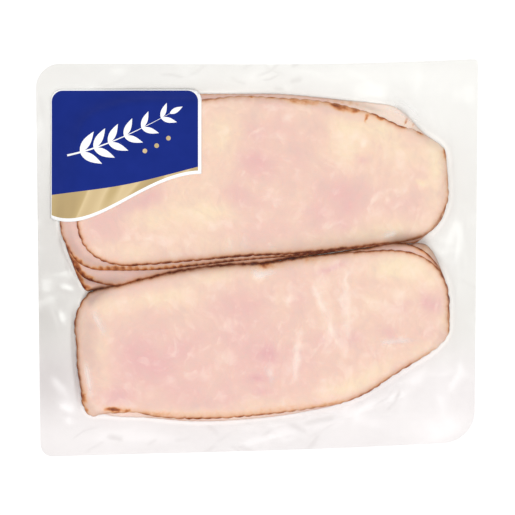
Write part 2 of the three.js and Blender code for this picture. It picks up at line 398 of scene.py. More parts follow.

# Each stack from the bottom up. An outline goes clockwise as (x, y, how brown the rind is there), and 0 is
# not at all; along the gap between the stacks the tones run above 1, and that extra brown and width paints
# part of the gap's shade. The patches on a face are soft ovals, each (x, y, half width, half height, turn in
# degrees, strength): how pink, how light and how browned; a few, marked, are painted shade. The fibres run
# round the core.
upperCore, lowerCore = (8, 36), (-50, -38)
upperStack = [
    {"seed": 14, "depth": 0.2, "outline": [
        (-89.8, 8.3, 0.9), (-87.1, -1.5, 1), (-85.3, -6.5, 1), (-83.2, -11.2, 1), (-79.9, -15.6, 1),
        (-76.1, -15, 1), (-63.9, -13.2, 0.9), (-50.3, -9.5, 0.9), (-31.5, -5.7, 1), (-15, -3.9, 1.1),
        (2.3, -2.7, 1.1), (13.2, -0.9, 1.1), (29.6, 1.6, 0.8), (50.8, 4.8, 0.7), (64, 6.4, 0.8),
        (70, 6.6, 0.7), (74.5, 7, 0.5),
        (78.2, 9.6, 0.3), (82, 13.5, 0.4), (84.8, 19.6, 0.6), (87, 41.2, 0.6), (86, 47.8, 0.1),
        (78.5, 54.8, 0.1), (60.2, 65.5, 0.1), (24.9, 71.2, 0.1), (-26.8, 73.7, 0.6), (-66.7, 70.9, 0.6),
        (-83.2, 62.4, 0.6), (-88.8, 41.2, 0.7)],
     # These brown the rind and paint the shade of the crevice at the left end of the gap
     "toastAndShade": [(-83.5, -9, 1.4, 6, 30, 0.75), (-80, -14, 3, 1.2, 0, 0.6)]},
    {"seed": 13, "depth": 0.2, "outline": [
        (-91.4, 16.8, 0.9), (-88.7, 2.3, 1.1), (-85.8, -3.9, 1.1), (-80.8, -9.7, 1.2), (-74.7, -11.9, 1.2),
        (-66.3, -13.1, 1), (-55, -10.5, 0.9), (-36.2, -6.4, 1), (-15, -3.7, 1.1), (2.3, -2.5, 1.1),
        (13.2, -0.7, 1.1), (29.6, 1.8, 0.8), (50.8, 5, 0.8), (64, 7.4, 0.9), (74, 9.3, 0.8),
        (84.6, 17.7, 0.6), (87.8, 41.2, 0.6), (86.6, 48.8, 0.1), (79.5, 55.8, 0.1), (61.5, 67.4, 0.1),
        (29.6, 72.6, 0.1), (-26.8, 75.1, 0.6), (-69.1, 72.7, 0.6), (-86, 62.4, 0.6), (-91.9, 41.2, 0.7)],
     # These brown the rind and paint the shade of the crevice at the left end of the gap
     "toastAndShade": [(-84.3, -4, 1.5, 6, 32, 0.95), (-79, -9, 4, 1.3, -15, 0.6)]},
    {"seed": 12, "depth": 0.3, "scallopLength": (3.2, 3.7), "dots": 0.4, "outline": [  # as a string of beads
        (-92.7, 16.8, 0.8), (-91.6, 10.2, 0.8), (-88.8, 4.6, 0.85), (-84.4, -1.8, 0.85), (-78, -5.2, 0.8),
        (-67.7, -6, 0.75), (-55, -6, 0.8), (-40.9, -5.3, 0.9), (-29.1, -3.9, 1.1), (-8, -1.5, 1.2),
        (13.2, 0.4, 1.2), (32, 2.3, 1.1), (48.4, 4.4, 0.8), (64.9, 6.7, 1), (79, 10.5, 0.6),
        (86.7, 18.2, 0.6), (89.4, 28.1, 0.6), (89.1, 43.6, 0.4), (88.2, 50.4, 0.05), (84.3, 54.3, 0.03),
        (79.3, 57.6, 0.03), (75.2, 61.6, 0.05), (70.8, 66.6, 0.1), (64.5, 70.9, 0.05), (54.6, 72.6, 0.03),
        (41.4, 73.9, 0.1), (27.7, 75.4, 0.12), (11.3, 76.8, 0.12), (-8, 76.9, 0.2), (-50.3, 76.3, 0.6),
        (-76.1, 74.1, 0.6), (-87.9, 65.7, 0.6), (-93.1, 48.3, 0.6), (-93.8, 29.5, 0.7)],
     "pink": [(62, 69, 26, 12, -25, -0.35)], "light": [(62, 69, 26, 12, -25, 1.8)],
     "toastAndShade": [
        (-66, -5.2, 17, 1.7, 0, 0.82), (-84, -1.6, 1.8, 4.5, 45, 0.8), (-36, -4.3, 12, 1.3, 4, 0.75),
        (36, 73.4, 8, 1, -6, 0.28), (45, 72.2, 6, 1.2, -12, 0.3), (55, 69.8, 7, 1.4, -20, 0.14),
        (70, 64.4, 0.8, 2, -25, 0.95), (73, 62.3, 0.8, 1.6, -20, 0.5)]},
    {"seed": 11, "outline": [
        (-25.1, 74.3, 0.65), (-8, 75.9, 0.5), (11.3, 75, 0.45), (29.1, 73.6, 0.35), (37.1, 72.3, 0.6),
        (45.6, 70.1, 0.6), (52, 68.3, 0.4), (57.5, 66.4, 0.85), (63, 63.8, 0.8), (68.3, 61.5, 0.95),
        (71.8, 60.7, 0.2), (75.7, 59.3, 0.6), (79, 57.3, 0.2), (84.1, 54.2, 0), (87.3, 51.8, 0.05),
        (88.3, 49.9, 0.75),
        (88.7, 47.2, 0.6), (89, 43.9, 0.2), (89.4, 36.5, 0.5), (89.8, 28.1, 0.6), (86.7, 19.6, 0.6),
        (79.9, 11.5, 0.5), (71.4, 8.1, 0.7), (55.5, 6, 1), (41.4, 4, 1.15), (20.2, 1.9, 1.2),
        (-4.2, 0.6, 1.2), (-29.1, -1.5, 1), (-50.3, -3.3, 0.95), (-63, -3.8, 0.95), (-73.8, -0.9, 0.9),
        (-80.4, 4.6, 0.85), (-83.7, 11.6, 0.8), (-84.8, 21.5, 0.7), (-85.5, 36.5, 0.7), (-84.6, 53, 0.7),
        (-79.4, 66.2, 0.7), (-66.7, 72, 0.7), (-45.6, 73.7, 0.7)],
     "pink": [
        (-76, 9, 10, 8, 0, 0.35), (-72, 18, 8.5, 6.5, 0, 0.6), (-64.5, 12, 10.5, 4, 10, 0.35),
        (-49.5, 27, 7.5, 2.5, 30, 0.5), (-0.5, 59.5, 5.5, 5.5, 0, 0.5), (-2, 44, 7.5, 7, 0, 0.75),
        (-9, 28.5, 9, 7, 0, 0.5), (3, 47, 8, 4, 0, 0.4), (-57, 26, 13, 3.5, 28, 0.85),
        (6, 40.5, 6.5, 5.5, 0, 0.35), (2.5, 27, 8.5, 4.5, 0, 0.35), (14, 60, 7.5, 7.5, 0, 0.35),
        (20, 46, 7.5, 8.5, 0, 0.3), (8.5, 71.5, 6.5, 2.5, 0, 0.5), (37, 31.5, 7.5, 4.5, 0, 0.45),
        (38, 29, 13, 8.5, 0, 0.42), (30.5, 20.5, 10.5, 5.5, 0, 0.55), (44.5, 24, 6.5, 4.5, 0, 0.4),
        (49.5, 46, 3.5, 2, 0, 0.6), (40, 15.5, 8.5, 4, 0, 0.4), (65, 25.5, 12, 4.5, 15, 0.35),
        (53, 32, 9.5, 3.5, 0, 0.3), (-5.5, 10.5, 9.5, 5.5, 0, 0.25), (15.5, 12, 12, 5.5, 0, 0.3),
        (-50.5, 12, 9.5, 4, 0, 0.15), (68, 58, 4, 3, 0, 0.2), (-18, 57.5, 8.5, 13, 0, -0.7),
        (-27, 34, 12, 7.5, 0, -0.4), (-43, 18.5, 22.5, 7.5, 8, -0.85), (-19.5, 21.5, 10.5, 4.5, 0, -0.6),
        (-59.5, 3.5, 19, 3.5, 0, -0.4), (-21, 6.5, 10.5, 4.5, 0, -0.35), (44.5, 59, 10.5, 7.5, 0, -0.95),
        (60, 59, 12, 5.5, -15, -0.7), (41.5, 48.5, 6.5, 5.5, 0, -0.6), (72, 48.5, 12, 7.5, 0, -0.55),
        (84, 43.5, 4, 11.5, 0, -0.9), (82, 29, 4.5, 6.5, 0, -0.5), (67, 13.5, 15, 4, 8, -0.55),
        (44.5, 10, 14, 3, 5, -0.35), (28.5, 6.5, 9.5, 2.5, 0, -0.4), (77, 35.5, 2.5, 1.5, 0, -1.2)],
     # (34, 69) paints the shade under the browned top edge
     "light": [
        (-57, 26, 12, 3, 28, -0.4), (80, 31, 5, 6, 0, -0.35), (-8, 7, 13, 4, 5, -0.35),
        (34, 69, 9, 1.6, -14, -0.9), (54, 62.5, 6, 1.4, -25, -0.4), (9, 71, 5.5, 1.4, -8, 0.55),
        (16.5, 66.5, 4, 1.2, 20, 0.5), (-0.5, 60, 4, 0.9, 48, 0.7),
        (21.5, 59, 4, 1.2, 60, 0.5), (28.5, 69.5, 4, 1.4, 0, 0.4), (43.5, 56.5, 6.5, 5.5, 0, 0.5),
        (50, 54, 1.2, 1.4, 0, 0.8), (54, 27, 4, 1.4, 40, 0.5), (61.5, 27, 0.9, 0.9, 0, 0.9),
        (52, 21, 5.5, 3, 0, 0.4), (67.5, 46, 2.5, 5.5, 0, 0.35), (65, 32, 8.5, 1.4, 8, 0.4),
        (-5.5, 34, 3.5, 1.4, 0, 0.3), (6, 28.5, 6, 4, 0, 0.3), (-13, 7.5, 0.8, 3, 0, 0.7),
        (-6, 7.5, 0.8, 3, 0, 0.7), (1, 17.5, 0.8, 2.5, 0, 0.5), (6, 6, 0.8, 2, 0, 0.6),
        (61, 9, 5, 1.2, 8, 0.6), (-50.5, 9.5, 18, 3.5, 3, 0.3), (34.5, 8.5, 4.5, 1.4, 0, 0.3),
        (-22, 64.5, 4, 4.5, 0, 0.3), (-10.5, 46, 4, 0.9, 90, 0.3), (-21, 15.5, 6.5, 2.5, 0, 0.35),
        (81.5, 22.5, 3, 4, 0, 0.3), (-2.5, 65.5, 5.5, 4.5, 30, -0.5), (27.5, 61.5, 7.5, 4, -25, -0.5),
        (19.5, 51.5, 7.5, 4.5, 0, -0.35), (47.5, 32, 5.5, 5.5, 0, -0.5), (50.5, 25.5, 1.4, 4, -10, -0.6),
        (30.5, 35, 4.5, 4, 0, -0.25), (22, 37.5, 2.5, 5.5, 0, -0.25), (-13.5, 50.5, 1.2, 4, -15, -0.4),
        (4.5, 11, 4, 4.5, 0, -0.3), (34.5, 8, 5.5, 2.5, 0, -0.25), (55, 54.5, 0.6, 2, 0, -0.5),
        (63, 54.5, 0.7, 3, 5, -0.5), (59, 56.5, 0.6, 2, 0, -0.35), (71, 55.5, 4, 3.5, 0, -0.3),
        (66.5, 38.5, 0.7, 3, 15, -0.35), (13.5, 32, 2.5, 5.5, 20, -0.25), (-64.5, 17, 8.5, 5.5, 0, -0.3),
        (25, 17, 4.5, 3, 0, -0.3), (13, 20.5, 4.5, 2.5, 0, -0.2)],
     "toastAndShade": [
        (-3.9, 75.9, 2.4, 0.6, -6, 0.75), (2.9, 76, 3, 0.8, 0, 0.3), (7.6, 75.4, 1.8, 0.7, -8, 0.7),
        (15.5, 73.9, 4, 1.4, -5, 0.35), (24, 73, 8, 2.4, -5, 0.5), (37.2, 71.6, 3.2, 1.6, -28, 0.6),
        (41, 70, 8, 2.4, -18, 0.5), (47.2, 69.6, 2.8, 1.4, -10, 0.6),
        (51.4, 65.3, 1, 2.8, -14, 0.75), (57.6, 66, 2.8, 1.5, -25, 0.8), (67.5, 62, 3, 1, -25, 0.8),
        (76.2, 58.8, 2.6, 1.1, -42, 0.7), (88.3, 49, 1.3, 2.4, 0, 0.6), (77.1, 35.6, 1.8, 1, -20, 0.3),
        (89.2, 34, 1.5, 14, 0, 0.3), (83, 15, 7, 1.4, 38, 0.25)]},
]

hiddenEdge = [  # where the two lower slices end together, under the upper stack
    (2.3, -2.9, 1.1), (-15, -4.1, 1.1), (-31.5, -6.2, 1), (-50.3, -9.8, 0.6), (-63, -13.3, 0.6)]
lowerStack = [
    {"seed": 23, "depth": 0.2, "outline": [
        (-75.2, -19.4, 0.8), (-80.8, -26.9, 0.7), (-83.2, -41, 0.7), (-81.8, -59.8, 0.7), (-77.1, -69.7, 0.6),
        (-50.3, -73.4, 0.1), (-22.1, -76.7, 0.1), (15.5, -72, 0.1), (43.7, -65.4, 0.1), (64.9, -52.6, 0.1),
        (83.7, -39.4, 0.1), (87.9, -29.3, 0.7), (88.2, -17.5, 0.7), (86.8, -6.7, 0.3), (84.6, -1.2, 0),
        (82.4, 3, 0), (79.6, 5.9, 0), (76.2, 6.9, 0), (71.5, 6.2, 0.4), (64.9, 4.9, 0.8), (50.8, 4.6, 0.7),
        (39, 2.8, 0.8), (13.2, -1.1, 1.1), *hiddenEdge],
     # The tongue of this slice at the right end of the gap, and these patches on it, paint the brownish shade
     # where the gap opens out
     "pink": [(82, 2, 6, 8, 20, -0.7)], "light": [(82, 2, 6, 8, 20, -0.3)],
     "toastAndShade": [(79, 5.2, 7, 4, -35, 0.36)]},
    {"seed": 22, "depth": 0.3, "outline": [
        (-76.6, -18, 0.8), (-82.2, -24.6, 0.7), (-84.6, -38.7, 0.7), (-83.2, -57.5, 0.7), (-80.4, -69.2, 0.6),
        (-73.8, -72.7, 0.1), (-50.3, -75.2, 0.12), (-31.5, -76.7, 0.12), (-8, -76, 0.1), (20.2, -72.7, 0.1),
        (43.7, -66.8, 0.1), (64.9, -54, 0.1), (85.1, -40.6, 0.1), (90, -31.6, 0.6), (89.8, -18.9, 0.8),
        (87.2, -7.6, 0.9), (82.2, -0.2, 0.9), (79.3, 2.6, 0.9), (75.8, 4.7, 0.9), (69.1, 6.8, 0.8),
        (62.5, 7, 0.8), (54, 5, 0.7), (41.4, 3, 0.7), (20.2, 0, 0.9), *hiddenEdge],
     "light": [(-20, -74, 60, 5, 0, 1.3), (-64, -73, 14, 4, 0, 0.6)],
     # These brown the rind along the gap and paint its brownish shade at the right end
     "toastAndShade": [(77.5, 3.4, 5, 1.5, -35, 0.5), (66, 6.6, 8, 1, 0, 0.45)]},
    {"seed": 21, "outline": [
        (-77.5, -15.5, 0.7), (-83, -21.7, 0.75), (-85.7, -30.2, 0.7), (-84.8, -41, 0.7), (-84.4, -51.8, 0.7),
        (-82.7, -62.6, 0.8), (-82, -68.7, 0.6), (-78.3, -74.3, 0.25), (-71.9, -73.3, 0.2),
        (-64.4, -72.9, 0.5), (-56.9, -72.6, 0.3), (-49.3, -74.4, 0.7), (-36.2, -75.6, 0.85),
        (-19.7, -75.5, 0.8), (3.8, -73.7, 0.75), (24.9, -70.9, 0.6), (41.4, -67.8, 0.4),
        (51.2, -63.8, 0.85), (64.4, -55.1, 0.55), (73.3, -49.6, 0.6), (79, -46.1, 0.3), (86, -40.9, 0.02),
        (89.5, -36.5, 0.2), (90.5, -32.5, 0.6), (89.9, -27.8, 0.5), (90.4, -22.7, 0.9), (89.1, -12.8, 0.8),
        (86.2, -6.5, 0.8), (80.8, -1.3, 0.7), (72.8, 2.4, 0.7), (64.4, 3.6, 0.7), (50.8, 3.1, 0.6),
        (34.3, 1.8, 0.8), (20.2, 0.3, 1), (11, -1.3, 1.1), (2.3, -2.4, 1.1), (-8, -2.8, 1.1),
        (-22.1, -3.6, 1.1), (-31.5, -5.1, 1), (-50.3, -9.1, 0.85), (-63.9, -12.6, 0.8), (-71.4, -14.2, 0.7)],
     "pink": [
        (-20, -42, 55, 25, 3, 0.26), (32, -22, 9, 13, -20, -0.25), (-60, -52, 12, 12, 0, 0.35),
        (-8, -25, 9, 8, -20, 0.45), (4, -52, 9, 9, 0, 0.35), (-17, -68, 20, 4.5, 0, 0.25),
        (-57, -41, 9, 7.5, 0, 0.5), (-48, -49, 11.5, 7.5, 0, 0.6), (-66.5, -65.5, 8.5, 4, 0, 0.7),
        (-36, -41, 10.5, 5.5, 0, 0.35), (-34, -60, 14, 7.5, 0, 0.35), (-45.5, -34, 6.5, 3.5, 0, 0.4),
        (5, -45, 5.5, 3.5, 15, 0.65), (-0.5, -57, 4.5, 2, 0, 0.9), (2.5, -62.5, 4, 2, 0, 0.6),
        (-8, -41, 9.5, 9.5, 0, 0.3), (-14, -36.5, 6.5, 4.5, 0, 0.3), (-4.5, -21, 8.5, 5.5, 0, 0.4),
        (-19.5, -24.5, 7.5, 4.5, 0, 0.25), (20, -20, 6.5, 7.5, 0, 0.3), (31.5, -38.5, 8.5, 4.5, 0, 0.35),
        (46, -37.5, 4.5, 3, 0, 0.5), (61.5, -35.5, 4, 2.5, 0, 0.55), (68, -24, 3, 2, 0, 0.5),
        (71.5, -21.5, 2.5, 1.4, 0, 0.4), (82.5, -22.5, 4, 4, 0, 0.85), (78.5, -20, 2.5, 3, 0, 0.5),
        (80, -35, 4.5, 3, 0, 0.3), (34.5, -5, 6.5, 1.2, 18, 0.9), (20, -48, 9.5, 6.5, 0, 0.3),
        (39, -20, 3, 8.5, 0, 0.15), (-15, -60, 11.5, 4.5, 0, 0.2), (-48, -19, 16, 4, 8, -0.85),
        (-71.5, -22.5, 6.5, 4.5, 0, -0.5), (-22, -9.5, 11.5, 3, 5, -0.6), (2.5, -8, 5.5, 3.5, 0, -0.35),
        (-73, -41, 4, 11.5, 0, -0.6), (-71, -57.5, 3, 8.5, 0, -0.35), (70.5, -5, 11.5, 6, -12, -1.15),
        (59, -6.5, 6.5, 4, 0, -0.5), (81.5, -10.5, 4, 4, 0, -0.5), (65, -17.5, 7.5, 3.5, 0, -0.3),
        (12, -20, 3, 8.5, 0, -0.3), (53.5, -20, 4, 5.5, 0, -0.35), (49.5, -57.5, 11.5, 4, 25, -0.95),
        (34.5, -62.5, 11.5, 3.5, 10, -0.7), (62.5, -49, 8.5, 4, 30, -0.5), (76.5, -43.5, 6.5, 3.5, 30, -0.45),
        (6, -68.5, 19, 2.5, 3, -0.5), (-31.5, -72.5, 28, 2, 0, -0.45), (88.5, -29.5, 2, 4.5, 0, -0.5)],
     # Those near (-75, -17), at the left end of the gap, paint its shade
     "light": [
        (-27, -70, 13, 5, 0, -0.45), (-75.5, -17, 4.5, 1.6, 35, -1.3), (-70, -16.5, 6, 1.2, 12, -0.6),
        (-77, -37, 5, 18, 0, -0.4), (-73, -38, 6, 12, 0, -0.3), (34, -20, 10, 12, 0, 0.3),
        (34, -38, 7, 7, 0, 0.35), (68, -25, 8, 6, 0, 0.3), (0.5, -8, 4, 2, 0, 0.55),
        (15.5, -18.5, 1.4, 7.5, 0, 0.6), (27.5, -16, 1.2, 3, 25, 0.8),
        (30, -22, 1.2, 4, 20, 0.9), (35, -34, 1.2, 4.5, 25, 0.8), (37.5, -40, 1, 2.5, 25, 0.6),
        (41.5, -11, 1.2, 5.5, 0, 1), (42.5, -25.5, 2.4, 9.5, 0, 0.8), (18.5, -48.5, 1.2, 9.5, -5, 0.9),
        (20, -43.5, 1.4, 4, 10, 0.3), (56.5, -21.5, 4.5, 6, 0, 0.4), (68.5, -17, 8.5, 3.5, 0, 0.45),
        (71, -5, 8.5, 4.5, -10, 0.4), (6, -53.5, 1.4, 2.5, 0, 1), (-12.5, -31.5, 5, 4, 0, 0.3),
        (36.5, -57.5, 13, 3.5, 22, 0.3), (-74.5, -30.5, 1, 4.5, 20, 0.9), (-79.5, -56.5, 0.8, 7.5, 12, 0.8),
        (-69.5, -43.5, 4, 7.5, 0, 0.35), (-50.5, -20, 12, 3, 5, 0.25), (-38.5, -55, 4, 2.5, 40, 0.25),
        (-27, -43.5, 4.5, 2, 30, 0.3), (-19.5, -64.5, 5.5, 1.4, 20, 0.3), (-41, -69, 4.5, 1.2, 10, 0.3),
        (-5.5, -67, 6.5, 1.4, 15, 0.3), (-27, -20, 4.5, 2, 10, 0.3), (-62, -24.5, 5.5, 2.5, 0, 0.25),
        (65, -42, 6.5, 0.9, 4, 0.5), (53, -45.5, 3, 1.4, 0, 0.35), (81.5, -41, 4, 2, 35, 0.35),
        (29.5, -50.5, 3, 1.2, 30, 0.4), (11, -34, 1.4, 4.5, -10, 0.3), (-16.5, -48, 4, 1.4, 30, 0.25),
        (22, -22, 4, 6.5, -15, -0.4), (36.5, -18, 2, 7.5, 10, -0.5), (18, -6.5, 4.5, 2.5, 0, -0.4),
        (-4.5, -43.5, 4, 3.5, 0, -0.3), (51.5, -30, 1.4, 4.5, -12, -0.45), (48.5, -27, 1.2, 3.5, 10, -0.4),
        (56, -34, 0.9, 3, 0, -0.35), (44, -41, 0.6, 3, 0, -0.45), (46.5, -41.5, 0.6, 3, 0, -0.45),
        (49, -41, 0.6, 2.5, 0, -0.4), (59.5, -35.5, 0.6, 2.5, 0, -0.45), (62, -36, 0.6, 2.5, 0, -0.45),
        (57.5, -36, 0.6, 2, 0, -0.35), (80, -20, 0.6, 3.5, -20, -0.5), (82.5, -21.5, 0.6, 4, -20, -0.5),
        (85.5, -23, 0.6, 3.5, -20, -0.45), (15.5, -61, 4, 2, 20, -0.35), (7.5, -61, 3, 2, 0, -0.35),
        (-38.5, -27, 6.5, 2, 10, -0.25), (-45.5, -30.5, 7.5, 2, 8, -0.25), (-55, -41, 4, 4, 0, -0.3),
        (-65.5, -41, 0.9, 6.5, -10, -0.25), (-22, -34, 6.5, 1.4, 25, -0.25), (-9.5, -25.5, 2, 4, 0, -0.3),
        (-31.5, -50.5, 5.5, 1.4, 20, -0.25), (28.5, -28.5, 1.4, 4, 20, -0.35),
        (25, -38.5, 6.5, 1.4, 0, -0.25), (-76, -20, 4, 3, 30, -0.5), (-67.5, -18, 5.5, 2, 12, -0.35),
        (-74, -63, 1.4, 4, 0, -0.35), (-10.5, -57.5, 4, 1.4, 30, -0.25), (13, -41, 1.4, 5.5, 0, -0.3)],
     "toastAndShade": [
        (-67.7, -71.3, 3.8, 1, -4, 0.9), (-81.8, -65.9, 1.4, 2.1, 15, 0.7), (-80.8, -71.6, 1.4, 1.4, 0, 0.6),
        (-60.6, -72, 1.4, 0.7, 0, 0.5), (-81, -64.5, 2.3, 6.5, 5, 0.36),
        (-64, -70.5, 9, 2, -4, 0.26), (-48, -73, 9, 1.4, -3, 0.25), (3.8, -3.2, 2.8, 1.4, 0, 0.5),
        (24, -0.1, 2.8, 1.4, 0, 0.3), (-25, -73.5, 30, 2.6, 0, 0.3), (14, -70.5, 20, 2.4, 6, 0.3),
        (35, -69, 14, 1.7, 14, 0.38), (58, -59, 10, 1.6, 38, 0.35), (80, -45, 7, 1.6, 34, 0.4),
        (90, -34, 1.4, 5, 0, 0.3), (-20, -6.6, 12, 2.2, 8, 0.25), (5, -4.6, 12, 2.3, 4, 0.35),
        (28, -1.6, 12, 2.2, 6, 0.3), (47, 1, 9, 1.8, 5, 0.2)]},
]


def scalloped(lie):  # the outline with the net's marks: points, and how brown and how far in a mark each is
    loop = smoothLoop(lie["outline"], sliceStyle["rimStep"])
    rng = random.Random(lie["seed"])
    total = len(loop) * sliceStyle["rimStep"]
    cuts = [0]
    while cuts[-1] < total:
        cuts.append(cuts[-1] + rng.uniform(*lie.get("scallopLength", sliceStyle["scallopLength"])))
    cuts = np.array(cuts) * total / cuts[-1]
    depths = np.array([rng.uniform(*sliceStyle["scallopDepth"]) for _ in cuts]) * lie.get("depth", 1)
    tones = np.array([rng.uniform(*sliceStyle["scallopTone"]) for _ in cuts])
    along = np.arange(len(loop)) * total / len(loop)
    k = np.searchsorted(cuts, along, side="right") - 1
    t = (along - cuts[k]) / (cuts[k + 1] - cuts[k])
    bulge = depths[k] * (np.sin(math.pi * t) ** 0.6 - 0.7)  # full in its middle, sharply notched at its ends
    mark = np.sin(math.pi * t ** 1.7)  # darkest past its middle
    notch = sliceStyle["notchTone"]
    tone = loop[:, 2] * tones[k] * (notch + (1 - notch) * mark)
    return loop[:, :2] + outwardOf(loop) * bulge[:, None], tone, mark


def topOf(distance, sag):  # height of a slice's top over its underside, by distance from the rim
    rounded = 1 - np.sqrt(1 - (1 - np.clip(distance / sliceStyle["rounding"], 0, 1)) ** 2)
    pressed = np.clip(1 - distance / sliceStyle["edgeReach"], 0, 1) ** 2
    return sliceStyle["thickness"] * (1 - sliceStyle["roundedShare"] * rounded) - sag * pressed


def makeSlice(name, lie, under, isTop, core, material):
    rim, rimTone, mark = scalloped(lie)
    base = drape(under, sliceStyle["bending"], sliceStyle["bendRounds"])
    outward = outwardOf(rim)
    rows = [rim - outward * inset for inset in sliceStyle["insets"]]
    inner = np.vstack(rows)
    wantedGap = np.repeat(sliceStyle["insets"], len(rim))
    keep = distanceTo(inner[:, 0], inner[:, 1], rim) > wantedGap * 0.9  # none where a row folds over itself
    step = sliceStyle["middleStep"][isTop]
    low, high = rim.min(0), rim.max(0)
    gx, gy = np.meshgrid(np.arange(low[0], high[0], step), np.arange(low[1], high[1], step))
    gx = (gx + (np.arange(gx.shape[0]) % 2)[:, None] * step / 2).ravel()
    gy = gy.ravel()
    deep = distanceTo(gx, gy, rim) > sliceStyle["insets"][-1] + step / 2
    points = np.vstack([rim, inner[keep], np.stack([gx[deep], gy[deep]], 1)])
    made = delaunay_2d_cdt(points.tolist(), [], [list(range(len(rim)))], 1, 1e-5)
    points = np.array([tuple(p) for p in made[0]])
    faces = [tuple(f) for f in made[2]]
    source = [ids[0] if ids else -1 for ids in made[3]]
    x, y = points.T
    distance = distanceTo(x, y, rim)
    isRim = np.array([0 <= s < len(rim) for s in source])
    distance[isRim] = 0
    gaps = (x[:, None] - rim[None, :, 0]) ** 2 + (y[:, None] - rim[None, :, 1]) ** 2
    nearest = gaps.argmin(1)
    sag = sliceStyle["edgeSag"][isTop]
    waves = sliceStyle["waves"] if isTop else 0
    floorZ = heightAt(base, x, y)
    topZ = floorZ + topOf(distance, sag)
    topZ += waves * wobble(x, y, sliceStyle["waveLength"], lie["seed"]) * np.clip(
        distance / sliceStyle["waveFade"], 0, 1)
    bottomZ = floorZ + sliceStyle["roundedShare"] * (sliceStyle["thickness"] - topOf(distance, 0))
    count = len(points)
    ring = [source.index(i) for i in range(len(rim))]
    walls = [(a, a + count, b + count, b) for a, b in zip(ring, ring[1:] + ring[:1])]
    vertices = np.vstack([np.stack([x, y, topZ], 1), np.stack([x, y, bottomZ], 1)])
    flipped = [tuple(i + count for i in reversed(f)) for f in faces]
    torn, browned, bent = (
        [reach * wobble(x, y, size, seed) for reach, size, seed in sliceStyle[key]]
        for key in ("tears", "brownedTears", "grainBends"))
    dots = lie.get("dots", sliceStyle["dots"])
    shadeUnderTop = 0 if isTop else sliceStyle["shadeUnderTop"]
    marks = {
        "across": np.hypot(x - core[0], y - core[1]) + sum(bent),
        "rimDistance": distance,
        "rimTone": rimTone[nearest],
        "pink": softPatches(x + torn[0], y + torn[1], lie.get("pink", [])) + shadeUnderTop,
        "light": softPatches(x + torn[0], y + torn[1], lie.get("light", [])) - shadeUnderTop,
        "toastAndShade": softPatches(x + browned[0], y + browned[1], lie.get("toastAndShade", []))
        * (1 - dots + dots * mark[nearest]),
    }
    attributes = {key: np.tile(values, 2) for key, values in marks.items()}
    attributes["toastAndShade"][count:] = 0  # only the upper face gets the listed browning and painted shade
    makePiece(name, vertices, faces + flipped + walls, [material], attributes)
    inside = insideOf(rim)
    gridDistance = distanceTo(gridPlace[0][inside], gridPlace[1][inside], rim)
    heights = under.copy()
    heights[inside] = base[inside] + topOf(gridDistance, sag) + sliceStyle["waveRoom"][isTop]
    return heights, rim


# Both stacks are laid on the bottom film
meat = cookedTurkey()
meatZ = 0.2
ground = np.full(gridPlace[0].shape, meatZ)
tops, rims = [], []
for stackName, stack, core in (("upperSlice", upperStack, upperCore), ("lowerSlice", lowerStack, lowerCore)):
    heights = ground
    for number, lie in enumerate(stack, 1):
        heights, rim = makeSlice(f"{stackName}{number}", lie, heights, lie is stack[-1], core, meat)
        rims.append(rim)
    tops.append(heights)
print("slices laid:", len(rims))


# The films. They are "bare" where they lie on each other: on the flange, and in the corners of the gap.
filmStyle = {
    "corners": [  # x, y, radius, clockwise from the top left
        (-104, 91.1, 11.5), (103.9, 93.4, 2.2), (102.2, -86.3, 14.5), (-101.7, -93.6, 6)],
    "topBow": -1.5,  # how far the long edges stray from straight
    "bottomBow": -0.9,
    "step": 0.7,
    "bottomStep": 2.8,
    "bottomZ": 0.1,
    "rimZ": 0.3,
    "bareHeight": 0.8,  # over the rim, where the film stops being bare
    "clearance": 0.12,  # over the meat
    "bending": 0.64,
    "bendRounds": 150,
    "ripples": 0.25,  # height of the waves in the flange
    "haze": 0.008,  # over meat
    "bareHaze": 0.05,  # more where it is bare
    "bottomHaze": 0.06,
    "bareShade": 0.105,
    "shadeWander": 0.012,
    "softSide": 1.9,  # how much wider a fold is on the left of its line
    "glareVeils": [  # painted glare: where the film over or beside the meat is made milky, lighter than the shade there
        (70, 68.5, 11, 4, -35, 0.3), (20, -75.5, 45, 2, 4, 0.12), (62, -60, 24, 2.5, 32, 0.12),
        (92, -12, 2, 22, 0, 0.1), (91, 35, 2, 18, 0, 0.1)],
    "paintedShading": [  # painted shade and painted light on the bare film: darker where positive, clearer where negative
        (-101, 5, 17, 50, 0, 0.09), (-99, -35, 15, 34, 0, 0.12), (-97, -60, 13, 12, 0, 0.06),
        (97, 30, 12, 50, 0, 0.02), (98, -30, 9, 32, 0, 0.03), (-50, 88, 50, 10, 0, 0.02),
        (30, 86, 60, 8, 0, -0.015), (99, 80, 25, 25, 0, -0.03), (80, -78, 22, 9, 15, -0.03),
        (-85, -84, 20, 8, 0, -0.02), (79, 4.5, 5, 4, -40, 0.1), (84, -1, 3, 9, 25, 0.08),
        (-84, -13, 5, 5, 0, 0.1)],
}
creaseStyle = {  # the many small ones; where there are two values, each crease is somewhere between them
    "count": 60,  # beside each stack
    "seed": 11,
    "start": (1, 13),  # outwards from the rim of the stack
    "turn": (0.7, 1.5),  # from straight outwards, in radians
    "length": (6, 22),
    "sway": (-0.2, 0.2),  # how far its middle turns aside, in radians
    "tones": [(0.4, 0), (0.2, 0), (0, 0.17), (0, 0.14)],  # how white as a painted highlight, how dark as painted shade
    "height": 0.08,
    "halfWidth": (0.5, 1.5),
}
